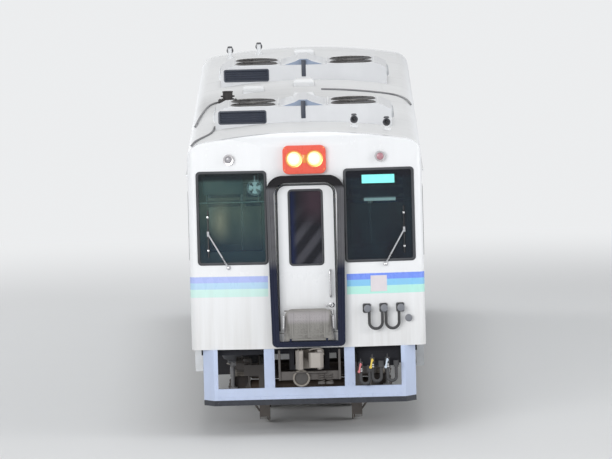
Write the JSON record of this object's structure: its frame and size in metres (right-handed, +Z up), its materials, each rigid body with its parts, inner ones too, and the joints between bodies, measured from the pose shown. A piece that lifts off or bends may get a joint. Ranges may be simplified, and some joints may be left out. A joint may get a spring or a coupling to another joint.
{
  "type": "single-unit diesel railcar",
  "caption": "White double-ended narrow-gauge diesel railcar with a gangway door and fold-down footplate at each end, roof cooling units, two bogies and pocket side doors.",
  "frame": {"origin": "on the floor under the middle of the car, at the lowest points of the wheel flanges", "axes": "+Y along the car away from the pictured end, +X to that end's right as a viewer faces it, +Z up"},
  "size_m": [2.84, 18.4976, 3.877],
  "materials": {
    "bare_metal": "anodised",
    "black_paint": "satin black",
    "black_rubber": "weathered",
    "body_paint": "gloss white enamel",
    "bogie_paint": "satin grey, brake dust",
    "bright_steel": "brushed",
    "cable_rubber": "matt",
    "coupler_steel": "as cast, worn jaw",
    "dark_steel": "heat-stained",
    "desk_plastic": "satin grey-green",
    "engine_paint": "satin grey-green, oily",
    "floor_covering": "matt grey vinyl",
    "frame_paint": "satin dark grey, dusty",
    "hose_rubber": "matt",
    "inner_panel": "satin cream laminate",
    "lamp_body": "pale ring round a red lens",
    "lamp_glass": "lit, warm",
    "orange_red_paint": "gloss enamel",
    "plate_steel": "worn grey paint on tread plate",
    "roof_paint": "semi-gloss pale grey, sooty",
    "seat_fabric": "blue moquette",
    "skirt_paint": "satin blue-grey",
    "wheel_steel": "brown patina with bright tread",
    "window_glass": "tinted"
  },
  "bodies": {
    "carbody": {"underframe": "frame_paint", "floor": "floor_covering", "door_sills": "bare_metal", "side_wall_left": "body_paint", "side_wall_right": "body_paint", "cab_sides": "body_paint", "end_wall_front": "body_paint", "end_wall_rear": "body_paint", "roof": "roof_paint", "side_windows": "window_glass", "window_frames": "bare_metal", "windscreens": "window_glass", "gangway_frames": "black_rubber", "lamp_housings": "orange_red_paint", "headlamp_lenses": "lamp_glass", "tail_lamps": "lamp_body", "wipers": "black_paint", "skirts": "skirt_paint", "jumper_cables": "cable_rubber", "air_hoses": "hose_rubber", "roof_units": "roof_paint", "roof_ventilators": "roof_paint", "exhaust_stack": "dark_steel", "engine": "engine_paint", "transmission": "engine_paint", "radiator": "frame_paint", "fuel_tank": "frame_paint", "air_reservoirs": "frame_paint", "equipment_boxes": "frame_paint", "cab_desks": "desk_plastic", "cab_bulkheads": "inner_panel", "seats": "seat_fabric", "handrails": "bright_steel"},
    "bogie_front": {"bogie_frame_front": "bogie_paint", "axle_boxes_front": "bogie_paint", "air_springs_front": "black_rubber"},
    "wheelset_front_1": {"wheelset_front_1": "wheel_steel"},
    "wheelset_front_2": {"wheelset_front_2": "wheel_steel"},
    "bogie_rear": {"bogie_frame_rear": "bogie_paint", "axle_boxes_rear": "bogie_paint", "air_springs_rear": "black_rubber", "final_drive": "engine_paint"},
    "wheelset_rear_1": {"wheelset_rear_1": "wheel_steel"},
    "wheelset_rear_2": {"wheelset_rear_2": "wheel_steel"},
    "side_door_front_right": {"side_door_front_right": "body_paint", "side_door_glass_front_right": "window_glass"},
    "side_door_front_left": {"side_door_front_left": "body_paint", "side_door_glass_front_left": "window_glass"},
    "side_door_rear_right": {"side_door_rear_right": "body_paint", "side_door_glass_rear_right": "window_glass"},
    "side_door_rear_left": {"side_door_rear_left": "body_paint", "side_door_glass_rear_left": "window_glass"},
    "end_door_front": {"end_door_front": "body_paint", "end_door_glass_front": "window_glass"},
    "footplate_front": {"footplate_front": "plate_steel"},
    "coupler_front": {"coupler_front": "coupler_steel"},
    "end_door_rear": {"end_door_rear": "body_paint", "end_door_glass_rear": "window_glass"},
    "footplate_rear": {"footplate_rear": "plate_steel"},
    "coupler_rear": {"coupler_rear": "coupler_steel"}
  },
  "joints": [
    {"name": "bogie_front_swivel", "type": "hinge", "parent": "carbody", "child": "bogie_front", "pos_m": [0, -6.2, 0.5], "axis": [0, 0, 1], "range_deg": [-3, 3]},
    {"name": "wheelset_front_1_roll", "type": "hinge", "parent": "bogie_front", "child": "wheelset_front_1", "pos_m": [0, -7.15, 0.432], "axis": [1, 0, 0], "continuous": true},
    {"name": "wheelset_front_2_roll", "type": "hinge", "parent": "bogie_front", "child": "wheelset_front_2", "pos_m": [0, -5.25, 0.432], "axis": [1, 0, 0], "continuous": true},
    {"name": "bogie_rear_swivel", "type": "hinge", "parent": "carbody", "child": "bogie_rear", "pos_m": [0, 6.2, 0.5], "axis": [0, 0, 1], "range_deg": [-3, 3]},
    {"name": "wheelset_rear_1_roll", "type": "hinge", "parent": "bogie_rear", "child": "wheelset_rear_1", "pos_m": [0, 5.25, 0.432], "axis": [1, 0, 0], "continuous": true},
    {"name": "wheelset_rear_2_roll", "type": "hinge", "parent": "bogie_rear", "child": "wheelset_rear_2", "pos_m": [0, 7.15, 0.432], "axis": [1, 0, 0], "continuous": true},
    {"name": "side_door_front_right_slide", "type": "slide", "parent": "carbody", "child": "side_door_front_right", "axis": [0, 1, 0], "range_m": [0, 0.9]},
    {"name": "side_door_front_left_slide", "type": "slide", "parent": "carbody", "child": "side_door_front_left", "axis": [0, 1, 0], "range_m": [0, 0.9]},
    {"name": "side_door_rear_right_slide", "type": "slide", "parent": "carbody", "child": "side_door_rear_right", "axis": [0, -1, 0], "range_m": [0, 0.9]},
    {"name": "side_door_rear_left_slide", "type": "slide", "parent": "carbody", "child": "side_door_rear_left", "axis": [0, -1, 0], "range_m": [0, 0.9]},
    {"name": "end_door_front_hinge", "type": "hinge", "parent": "carbody", "child": "end_door_front", "pos_m": [-0.343, -8.928, 2], "axis": [0, 0, 1], "range_deg": [0, 90]},
    {"name": "footplate_front_fold", "type": "hinge", "parent": "carbody", "child": "footplate_front", "pos_m": [0, -9.091, 1.145], "axis": [1, 0, 0], "range_deg": [0, 94]},
    {"name": "coupler_front_swing", "type": "hinge", "parent": "carbody", "child": "coupler_front", "pos_m": [0, -8.38, 0.907], "axis": [0, 0, 1], "range_deg": [-10, 10]},
    {"name": "end_door_rear_hinge", "type": "hinge", "parent": "carbody", "child": "end_door_rear", "pos_m": [0.343, 8.928, 2], "axis": [0, 0, 1], "range_deg": [0, 90]},
    {"name": "footplate_rear_fold", "type": "hinge", "parent": "carbody", "child": "footplate_rear", "pos_m": [0, 9.091, 1.145], "axis": [-1, 0, 0], "range_deg": [0, 94]},
    {"name": "coupler_rear_swing", "type": "hinge", "parent": "carbody", "child": "coupler_rear", "pos_m": [0, 8.38, 0.907], "axis": [0, 0, 1], "range_deg": [-10, 10]}
  ]
}
